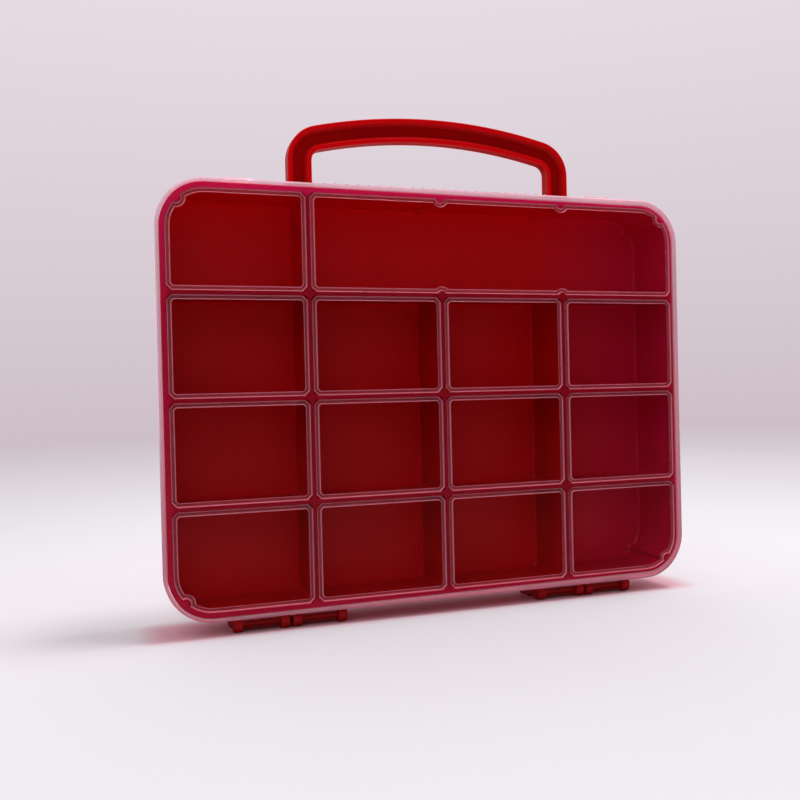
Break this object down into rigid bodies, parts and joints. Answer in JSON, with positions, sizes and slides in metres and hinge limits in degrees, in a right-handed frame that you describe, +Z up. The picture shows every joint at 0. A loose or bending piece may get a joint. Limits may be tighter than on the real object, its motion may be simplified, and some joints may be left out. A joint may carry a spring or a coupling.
{
  "type": "compartment storage box",
  "caption": "Flat rounded storage box in translucent red with a grid of compartments, a clear hinged snap lid, a fixed carrying handle and feet on its hinge edge.",
  "frame": {"origin": "the middle of the closed box's width and depth, on the plane that its feet stand on", "axes": "+X to the right seen from the lid's side, +Y from the lid to the tray's back, +Z up"},
  "size_m": [0.27, 0.0366, 0.2421],
  "materials": {
    "tray": "glossy moulded plastic, translucent red",
    "lid": "glossy moulded plastic, clear",
    "handle": "glossy moulded plastic, deep red"
  },
  "bodies": {
    "base": {"tray": "tray", "handle": "handle"},
    "lid": {"lid": "lid"}
  },
  "joints": [
    {"name": "lid_hinge", "type": "hinge", "parent": "base", "child": "lid", "pos_m": [0, -0.0101, 0.004], "axis": [1, 0, 0], "range_deg": [0, 180]}
  ]
}
